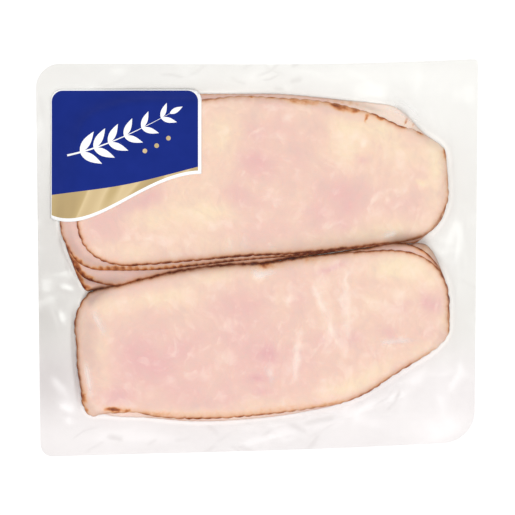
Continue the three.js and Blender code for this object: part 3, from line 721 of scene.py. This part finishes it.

# Each fold listed is (its line, height, half width, how white, how dark)
# How white paints a highlight (milky over the meat, clearing the shade on the card); how dark paints shade.
folds = [
    # over the meat, where the film has crept: milky creases that are partly painted highlights, and a few
    # streaks of painted shade
    ([(-77.1, -25.5), (-74.7, -30.2), (-71.4, -36.3)], 0.15, 1.1, 0.35, 0),
    ([(-80.6, -49), (-79.4, -56.5), (-77.8, -64.5)], 0.15, 0.9, 0.4, 0),
    ([(41.8, -6.2), (40.4, -19.9), (40.9, -29.3), (44.6, -41)], 0.12, 1.7, 0.1, 0),
    ([(24.9, -14.7), (29.6, -19.9), (31.5, -25.5), (35.7, -34), (39.5, -41)], 0.12, 1.4, 0.1, 0),
    ([(17.4, -39.1), (18.8, -45.7), (17.4, -52.8), (18.3, -58.4)], 0.12, 1.2, 0.14, 0),
    ([(57.8, -40.1), (63.4, -39.6), (72.8, -38.9)], 0.15, 0.8, 0.4, 0),
    ([(-2.3, -5.8), (0.5, -8.6), (8.9, -6.7)], 0.2, 1.2, 0.4, 0),
    ([(4.2, -52.8), (6.6, -56), (6.1, -58.9)], 0.15, 1, 0.25, 0),
    ([(-13.2, 9.3), (-12.7, 5.5), (-13.6, 2.7)], 0.1, 1, 0.15, 0),
    ([(-5.6, 11.2), (-6.6, 6.9), (-5.2, 3.6)], 0.1, 1, 0.15, 0),
    ([(6.1, 5.5), (7, 3.2)], 0.1, 0.9, 0.15, 0),
    ([(59.2, 9.8), (62.5, 10.7), (65.3, 11.6)], 0.15, 0.9, 0.35, 0),
    ([(61, 70), (69, 67), (75, 61.5)], 0.1, 0.8, 0.35, 0),
    ([(64.5, 71.6), (67.5, 70), (70, 67.2), (70.8, 64.6)], 0, 0.6, 0, 0.22),
    ([(70.6, 66.8), (75, 61.9), (80, 57.6)], 0, 0.8, 0, 0.08),
    ([(43, 72.8), (50, 71.2), (58, 68.2)], 0, 0.9, 0, 0.14),
    # over the gap between the stacks, which lies in shade, and along the stacks' left edges: painted shade
    ([(-76, -13), (-50, -7.5), (-20, -3.5), (10.8, -0.8), (43.7, 4.4), (62, 7), (74, 7.2)], 0, 3.2, 0, 0.2),
    ([(58, 7), (68, 7.6), (76, 7), (82, 5)], 0, 2.1, 0, 0.45),
    ([(72, 7.5), (77, 6.6), (81, 4.2), (84.5, -1), (87, -8)], 0, 1.5, 0, 0.3),
    ([(-80, -22), (-76.5, -18.5), (-70, -17)], 0, 3, 0, 0.15),
    ([(-82.5, -20.5), (-79.5, -17), (-74, -14.8), (-66, -13)], 0, 1.1, 0, 0.45),
    ([(-80.5, -17), (-76, -15), (-70.5, -13.9)], 0, 0.7, 0, 0.75),
    ([(-86, -6), (-80, -11.5), (-70, -11.7), (-58, -9.7)], 0, 2, 0, 0.24),
    ([(-45, -4.3), (-64, -4.7), (-74, -3.4), (-81.5, 0), (-86.5, 7), (-89.3, 19)], 0, 1.6, 0, 0.16),
    ([(-80, -24), (-81.5, -40), (-80.5, -60)], 0, 3, 0, 0.07),
    # on the flange at the right: a painted leaf-shaped glint, creases out of the gap between the stacks with
    # painted shade, and painted glints at the top corner
    ([(91.8, 13.9), (93.4, 15.8), (94.8, 12.5), (95, 9), (94.4, 4.5), (93, -1.5)], 0.15, 0.9, 0.85, 0),
    ([(93.4, 15.2), (91.6, 12.2), (90.6, 9.1), (89.4, 5.2)], 0.15, 1.2, 0.85, 0),
    ([(88.6, 9.5), (88, 7)], 0.1, 3, 0.45, 0),
    ([(84.5, 13), (84.9, 8.5), (86.2, 3.5)], 0, 1, 0, 0.1),
    ([(79.9, 10.5), (80.7, 7.5), (81.9, 3.6), (83.9, 0.4)], 0.3, 0.8, 0, 0.2),
    ([(83.8, 9.4), (84.6, 5.5), (85.6, 0.5), (87, -5)], 0.3, 0.8, 0, 0.14),
    ([(77, 8.7), (78.6, 6.4), (80, 3.8)], 0.3, 0.9, 0, 0.25),
    ([(98.7, 80.5), (98.9, 76), (99.8, 72.7)], 0.1, 1.6, 0.8, 0),
    ([(94.6, 78), (93.2, 76.2)], 0.1, 1.4, 0.7, 0),
    # at the bottom right: painted glints
    ([(44.9, -74.3), (49.2, -71.6), (57.3, -68.8)], 0.15, 0.9, 1, 0),
    ([(58.2, -67.7), (64.9, -65.7), (70.7, -63.3)], 0.15, 0.9, 1, 0),
    ([(68, -58.7), (72, -57.5), (76.5, -54.5)], 0.15, 1.8, 0.35, 0),
    ([(72, -59.5), (76, -57.5), (79, -52.5)], 0.1, 1.6, 0.6, 0),
    ([(94.9, -49.5), (95.4, -54.2), (91.2, -59.8), (90.2, -63.1)], 0.15, 1, 0.8, 0),
    ([(85.1, -63.6), (86.3, -68), (87.4, -74)], 0.1, 1.5, 0.5, 0),
    ([(80.5, -86), (88, -82), (96.8, -77.7)], 0.1, 3.5, 0.8, 0),
    ([(39, -73.2), (47, -73)], 0.1, 1.5, 0.7, 0),
    # at the left: painted glints, and painted shade beside the stacks' left edges, some of it on creases
    ([(-92.1, -13.3), (-89.5, -14), (-86.2, -15.2)], 0.15, 0.8, 1, 0),
    ([(-99.5, -9.5), (-99.3, -13), (-99.6, -16.2)], 0.1, 2, 0.6, 0),
    ([(-92.5, -25.5), (-91.8, -28), (-90.9, -30.2)], 0.15, 0.9, 1, 0),
    ([(-87.9, -25.5), (-89.6, -31), (-91.6, -37.3)], 0.2, 0.8, 0, 0.2),
    ([(-91.4, -38), (-91.6, -43), (-91.3, -48)], 0.15, 0.7, 0, 0.12),
    ([(-92.8, -69), (-89.5, -70.6), (-86, -72.3)], 0.15, 1.5, 1, 0),
    ([(-89.9, -76.6), (-87, -77.6)], 0.1, 1, 1, 0),
    ([(-92.1, 1.3), (-89, -5.8), (-86, -11.5), (-84.6, -13.8)], 0.3, 0.7, 0, 0.3),
    ([(-83.5, -14.5), (-85.7, -8.6), (-88.4, -3), (-91, 2.7), (-92.6, 8.3), (-93.5, 14)], 0, 0.9, 0, 0.3),
    ([(-84.6, -18), (-86.6, -26), (-87, -37), (-86.3, -50), (-84.8, -62), (-84, -72)], 0.2, 1.4, 0, 0.32),
    # at the top: painted shade along the stack's top edge, and a painted glint
    ([(-11.8, 76.9), (2.4, 77.5), (13.2, 77.4), (24.9, 76.1), (36.7, 74.4), (43.7, 73.2), (49.3, 71.6)],
     0.1, 1, 0, 0.12),
    ([(46, 78), (54, 77.6), (62, 76.8)], 0.2, 2.4, 1, 0),
    # along the bottom and the top edge: painted glints, and a band of painted shade
    ([(-78, -85.5), (-64.4, -84.5), (-38, -85.2)], 0.25, 2, 0.5, 0),
    ([(-84.1, -90.4), (-64.4, -88), (-42.3, -90)], 0.25, 1.6, 0, 0.09),
    ([(-11.4, -90.5), (1.4, -85.7), (16.9, -82)], 0.15, 0.9, 0.8, 0),
    ([(17, -79.5), (30, -77.8), (42, -75.5)], 0.2, 2.6, 0.5, 0),
    ([(-69.1, 84), (-26.8, 84.5), (20.2, 82.7)], 0.25, 3, 0.2, 0),
    ([(20.2, 84.5), (57.8, 85.4), (95.4, 83.5)], 0.25, 3, 0.3, 0),
]


def filmPlaces(step):  # a grid of points over the rounded four-cornered pouch: x and y, in rows and columns
    topLeft, topRight, bottomRight, bottomLeft = filmStyle["corners"]
    high, wide = topLeft[1] - bottomLeft[1], topRight[0] - topLeft[0]
    fine = np.array([0, 0.12, 0.35, 0.75, 1.3])  # closer rows where the corners turn
    rows = np.concatenate([fine, np.arange(2, high - 1.9, step), high - fine[::-1]])
    u = np.linspace(0, 1, round(wide / step) + 1)[None, :]
    up = rows[:, None]  # from the bottom edge
    down = high - up

    def cornerInset(gap, radius):
        reach = np.clip(1 - gap / radius, 0, 1)
        return radius * (1 - np.sqrt(1 - reach**2))

    left = cornerInset(down, topLeft[2]) + cornerInset(up, bottomLeft[2])
    right = cornerInset(down, topRight[2]) + cornerInset(up, bottomRight[2])
    u = (left + u * (wide - left - right)) / wide
    v = up / high
    x, y = (
        (1 - v) * ((1 - u) * bottomLeft[k] + u * bottomRight[k])
        + v * ((1 - u) * topLeft[k] + u * topRight[k]) for k in (0, 1))
    bow = np.sin(math.pi * u ** 1.5)  # most of it right of the middle
    y = y + bow * (filmStyle["topBow"] * v**3 + filmStyle["bottomBow"] * (1 - v) ** 3)
    return x, y


def gridFaces(rows, columns, upward):
    faces = []
    for i in range(rows - 1):
        for j in range(columns - 1):
            a = i * columns + j
            face = (a, a + 1, a + columns + 1, a + columns)
            faces.append(face if upward else face[::-1])
    return faces


def smallCreases():  # faint creases in the flange, most of them nearly along the stacks: some as a painted highlight, the rest as painted shade
    rng = random.Random(creaseStyle["seed"])
    creases = []
    for loop in (rims[2], rims[-1]):  # the widest upper slice, and the top lower one
        outward = outwardOf(loop)
        for _ in range(creaseStyle["count"]):
            i = rng.randrange(len(loop))
            start = loop[i] + outward[i] * rng.uniform(*creaseStyle["start"])
            heading = math.atan2(outward[i, 1], outward[i, 0])
            heading += rng.choice((-1, 1)) * rng.uniform(*creaseStyle["turn"])
            length, sway = rng.uniform(*creaseStyle["length"]), rng.uniform(*creaseStyle["sway"])
            line = [tuple(start + reach * np.array([math.cos(heading + turn), math.sin(heading + turn)]))
                    for reach, turn in ((0, 0), (length / 2, sway), (length, 0))]
            white, dark = rng.choice(creaseStyle["tones"])
            halfWidth = rng.uniform(*creaseStyle["halfWidth"])
            creases.append((line, creaseStyle["height"], halfWidth, white, dark))
    return creases


def makeFilms(material):
    obstacle = np.maximum(*tops) + filmStyle["clearance"]
    obstacle = np.maximum(obstacle, filmStyle["rimZ"])
    heights = drape(obstacle, filmStyle["bending"], filmStyle["bendRounds"])
    x, y = filmPlaces(filmStyle["step"])
    z = heightAt(heights, x, y)
    bare = np.clip(1 - (z - filmStyle["rimZ"]) / filmStyle["bareHeight"], 0, 1)  # 1 on the flange
    z = z + bare * filmStyle["ripples"] * (1 + wobble(x, y, 22, 5)) / 2
    haze = filmStyle["haze"] + bare * filmStyle["bareHaze"] + softPatches(x, y, filmStyle["glareVeils"])
    shade = bare * (filmStyle["bareShade"] + filmStyle["shadeWander"] * wobble(x, y, 24, 6)
                    + softPatches(x, y, filmStyle["paintedShading"]))
    lift = np.zeros(x.shape)
    marks = [(*fold, 1) for fold in folds] + [(*crease, bare) for crease in smallCreases()]
    for line, height, width, white, dark, where in marks:
        gap, share, left = distanceToLine(x, y, line)
        spread = np.where(left, width * filmStyle["softSide"], width)  # crisp on the other side
        endFade = np.clip(np.sin(math.pi * (0.08 + 0.84 * share)) * 1.3, 0, 1)
        shape = np.exp(-(gap / spread) ** 2) * endFade * where
        lift = np.maximum(lift, height * shape)
        haze = np.maximum(haze, white * shape * (1 - 0.9 * bare))  # over meat a crease is milky, in part a painted highlight
        shade = np.maximum(shade * (1 - white * shape * bare), dark * shape)  # on the card a white crease clears the shade as a painted highlight; a dark one paints shade
    places = np.stack([x, y, z + lift], 2).reshape(-1, 3)
    top = makePiece("topFilm", places, gridFaces(*x.shape, True), [material],
                    {"haze": haze.ravel(), "shade": shade.ravel()})
    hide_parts("pouch")
    x, y = filmPlaces(filmStyle["bottomStep"])
    places = np.stack([x, y, np.full(x.shape, filmStyle["bottomZ"])], 2).reshape(-1, 3)
    makePiece("bottomFilm", places, gridFaces(*x.shape, False), [material],
              {"haze": np.full(x.size, filmStyle["bottomHaze"]), "shade": np.zeros(x.size)})
    return heights


filmHeights = makeFilms(vacuumFilm())
print("films drawn down")


# The label
labelStyle = {
    "shortSide": 39.8,
    "longSide": 60.6,
    "pulls": [(-76, 9.5), (-53, 39)],  # the handles of its S-shaped bottom edge
    "border": {"left": 0.35, "top": 0.6, "right": 1.6, "bottom": 1.6},  # bare paper round the print
    "goldAtLeft": 9.5,  # height of the gold band at its two ends
    "goldAtRight": 1.8,
    "goldBelly": 2.5,
    "cornerRadius": 5.2,
    "edgePoints": 50,  # along the bottom edge
    "step": 1.5,
    "thickness": 0.12,
    "clearance": 0.35,  # over the film
    "bending": 0.08,
    "bendRounds": 500,
}
sprigStyle = {
    "stem": [(-89, 48), (-76, 50.5), (-62, 56), (-40, 68)],  # a bend from its foot to its tip
    "stemWidth": 0.8,
    "leafPairs": 6,
    "pairsAlong": (0.16, 0.92),  # where the first and last pair are, as shares of the stem
    "leafLength": 12.5,
    "leafWidth": 4,
    "leafShrink": 0.42,  # how much smaller they would be at the tip
    "leafLean": 42,  # degrees from the stem
    "tipLeaf": (0.55, 0.6),  # its length and width, as shares of the first leaves'
    "berries": [(-47, 52.5), (-41.5, 56), (-52.5, 50)],
    "berryRadius": 1.1,
}


def bend(ends, pulls, steps=40):  # points on one curve between two ends, drawn towards two handles
    t = np.linspace(0, 1, steps)[:, None]
    a, b, c, d = (np.array(p, float) for p in (ends[0], *pulls, ends[1]))
    return (1 - t) ** 3 * a + 3 * t * (1 - t) ** 2 * b + 3 * t**2 * (1 - t) * c + t**3 * d


def finer(loop, gap):  # the same loop, with points no further apart than gap
    points = []
    for a, b in zip(loop, np.roll(loop, -1, 0)):
        count = math.ceil(math.dist(a, b) / gap)
        points += [a + (b - a) * k / count for k in range(count)]
    return np.array(points)


def labelField(inset):  # the label's outline, moved in from each side
    low, high = (np.array(corner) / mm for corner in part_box("label"))
    left, right = low[0] + inset["left"], high[0] - inset["right"]
    top = high[1] - inset["top"]
    ends = [(low[0], high[1] - labelStyle["longSide"]), (high[0], high[1] - labelStyle["shortSide"])]
    x = np.linspace(left, right, labelStyle["edgePoints"])
    y = np.interp(x, *bend(ends, labelStyle["pulls"]).T) + inset["bottom"]
    turn = np.linspace(0, math.pi / 2, 9)
    r = labelStyle["cornerRadius"]
    corner = r * np.stack([np.cos(turn), np.sin(turn)], 1)
    return np.vstack([
        np.stack([x, y], 1), corner + (right - r, top - r), corner[::-1] * (-1, 1) + (left + r, top - r)])


def goldBand(field):  # a band along the printed field's bottom edge
    edge = field[:labelStyle["edgePoints"]]
    ends = [edge[0] + (0, labelStyle["goldAtLeft"]), edge[-1] + (0, labelStyle["goldAtRight"])]
    middle = (ends[0] + ends[1]) / 2 - (0, labelStyle["goldBelly"])
    return np.vstack([edge, bend(ends, [middle, middle])[::-1]])


def leaf(foot, angle, length, width):  # a pointed oval
    along = np.linspace(0, 1, 13)
    half = width / 2 * np.sin(math.pi * along ** 0.8)
    outline = np.vstack([np.stack([along * length, half], 1), np.stack([along * length, -half], 1)[-2:0:-1]])
    c, s = math.cos(angle), math.sin(angle)
    return outline @ np.array([[c, s], [-s, c]]) + foot


def sprig():  # a stem with pairs of leaves, and one at its tip
    foot, *pulls, tip = sprigStyle["stem"]
    stem = bend((foot, tip), pulls)
    t = np.linspace(0, 1, len(stem))[:, None]
    along = np.gradient(stem, axis=0)
    along /= np.hypot(*along.T)[:, None]
    side = np.stack([-along[:, 1], along[:, 0]], 1) * sprigStyle["stemWidth"] / 2 * (1.15 - t)
    shapes = [np.vstack([stem + side, (stem - side)[::-1]])]
    lean = math.radians(sprigStyle["leafLean"])
    for k in range(sprigStyle["leafPairs"]):
        share = np.interp(k, (0, sprigStyle["leafPairs"] - 1), sprigStyle["pairsAlong"])
        i = round(share * (len(stem) - 1))
        heading = math.atan2(along[i, 1], along[i, 0])
        size = 1 - sprigStyle["leafShrink"] * share
        for turn in (1, -1):
            shapes.append(leaf(stem[i], heading + turn * lean, sprigStyle["leafLength"] * size,
                               sprigStyle["leafWidth"] * size))
    heading = math.atan2(along[-1, 1], along[-1, 0])
    longer, wider = sprigStyle["tipLeaf"]
    shapes.append(leaf(stem[-1] - along[-1], heading, sprigStyle["leafLength"] * longer,
                       sprigStyle["leafWidth"] * wider))
    return shapes


def makeLabel():
    paper = coatedPaper("labelPaper", [(0.3, "#f8f8f8"), (0.7, "#fdfdfd")], 0.4)
    blue = coatedPaper("blueInk", [(0.3, "#16297b"), (0.7, "#192c81")], 0.45)
    gold = coatedPaper("goldInk", [
        (0.3, "#b8a074"), (0.44, "#c2aa7b"), (0.5, "#dac398"), (0.6, "#cfb78c"), (0.7, "#c2ab7c")],
        0.45, slantedFields=True)
    none = {"left": 0, "top": 0, "right": 0, "bottom": 0}
    field = labelField(labelStyle["border"])
    turn = np.linspace(0, 2 * math.pi, 17)[:-1]
    berry = np.stack([np.cos(turn), np.sin(turn)], 1) * sprigStyle["berryRadius"]
    isPaper, isBlue, isGold = range(3)
    regions = [(labelField(none), isPaper), (field, isBlue), (goldBand(field), isGold)]  # each over the last
    regions += [(shape, isPaper) for shape in sprig()]
    regions += [(berry + place, isGold) for place in sprigStyle["berries"]]
    points, loops = [], []
    for outline, _ in regions:
        outline = finer(outline, labelStyle["step"])
        x, y = outline.T
        if np.sum(x * np.roll(y, -1) - np.roll(x, -1) * y) < 0:
            outline = outline[::-1]
        loops.append(list(range(len(points), len(points) + len(outline))))
        points += outline.tolist()
    border = regions[0][0]
    low, high = border.min(0), border.max(0)
    gx, gy = np.meshgrid(*(np.arange(low[k] + 1, high[k] - 0.5, labelStyle["step"]) for k in (0, 1)))
    points += np.stack([gx.ravel(), gy.ravel()], 1).tolist()
    made = delaunay_2d_cdt(points, [], loops, 1, 1e-5)
    places = np.array([tuple(p) for p in made[0]])
    kinds = [regions[max(owners)][1] for owners in made[5]]
    rest = drape(filmHeights + labelStyle["clearance"], labelStyle["bending"], labelStyle["bendRounds"])
    z = heightAt(rest, *places.T) + labelStyle["thickness"]
    label = makePiece("label", np.column_stack([places, z]), [tuple(f) for f in made[2]], [paper, blue, gold],
                      faceMaterials=kinds)
    thick = label.modifiers.new("thickness", "SOLIDIFY")
    thick.thickness = labelStyle["thickness"] * mm
    thick.offset = -1
    thick.material_offset = thick.material_offset_rim = -3  # what it adds is bare paper
    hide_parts("label")


makeLabel()
print("label stuck on")


# Floor, light and camera, in metres
studio = {
    "floorSide": 6,
    "worldLight": 0.5,
    "lights": [  # name, place, side of the square, watts
        ("keyLight", (0.12, -0.1, 1.7), 0.8, 18.7),
        ("fillLight", (-1.1, -0.3, 1.5), 1.2, 2),
    ],
    "lens": 400,
    "sensor": 36,
    "farthestSeen": 50,
    "cameraPlace": (0.000235, 0.0001, 2.689),  # straight over the pack, looking down
}
half = studio["floorSide"] / 2
floorMesh = bpy.data.meshes.new("floor")
floorMesh.from_pydata(
    [(-half, -half, 0), (half, -half, 0), (half, half, 0), (-half, half, 0)], [], [(0, 1, 2, 3)])
floorMesh.materials.append(studioCard())
floor = bpy.data.objects.new("floor", floorMesh)
bpy.context.scene.collection.objects.link(floor)

world = bpy.data.worlds.new("studio")
world.use_nodes = True
sky = world.node_tree.nodes["Background"]
sky.inputs["Color"].default_value = (1, 1, 1, 1)
sky.inputs["Strength"].default_value = studio["worldLight"]
bpy.context.scene.world = world
for name, place, side, watts in studio["lights"]:
    lamp = bpy.data.lights.new(name, "AREA")
    lamp.size = side
    lamp.energy = watts
    light = bpy.data.objects.new(name, lamp)
    light.location = place
    light.rotation_euler = (-light.location).to_track_quat("-Z", "Y").to_euler()
    light.visible_camera = False
    light.visible_glossy = False  # the film mirrors only the even white room
    bpy.context.scene.collection.objects.link(light)

eye = bpy.data.cameras.new("camera")
eye.lens = studio["lens"]
eye.sensor_width = studio["sensor"]  # in mm, as the lens is
eye.clip_end = studio["farthestSeen"]
camera = bpy.data.objects.new("camera", eye)
camera.location = studio["cameraPlace"]
bpy.context.scene.collection.objects.link(camera)
bpy.context.scene.camera = camera
bpy.context.scene.view_settings.view_transform = "Standard"
print("studio set up")
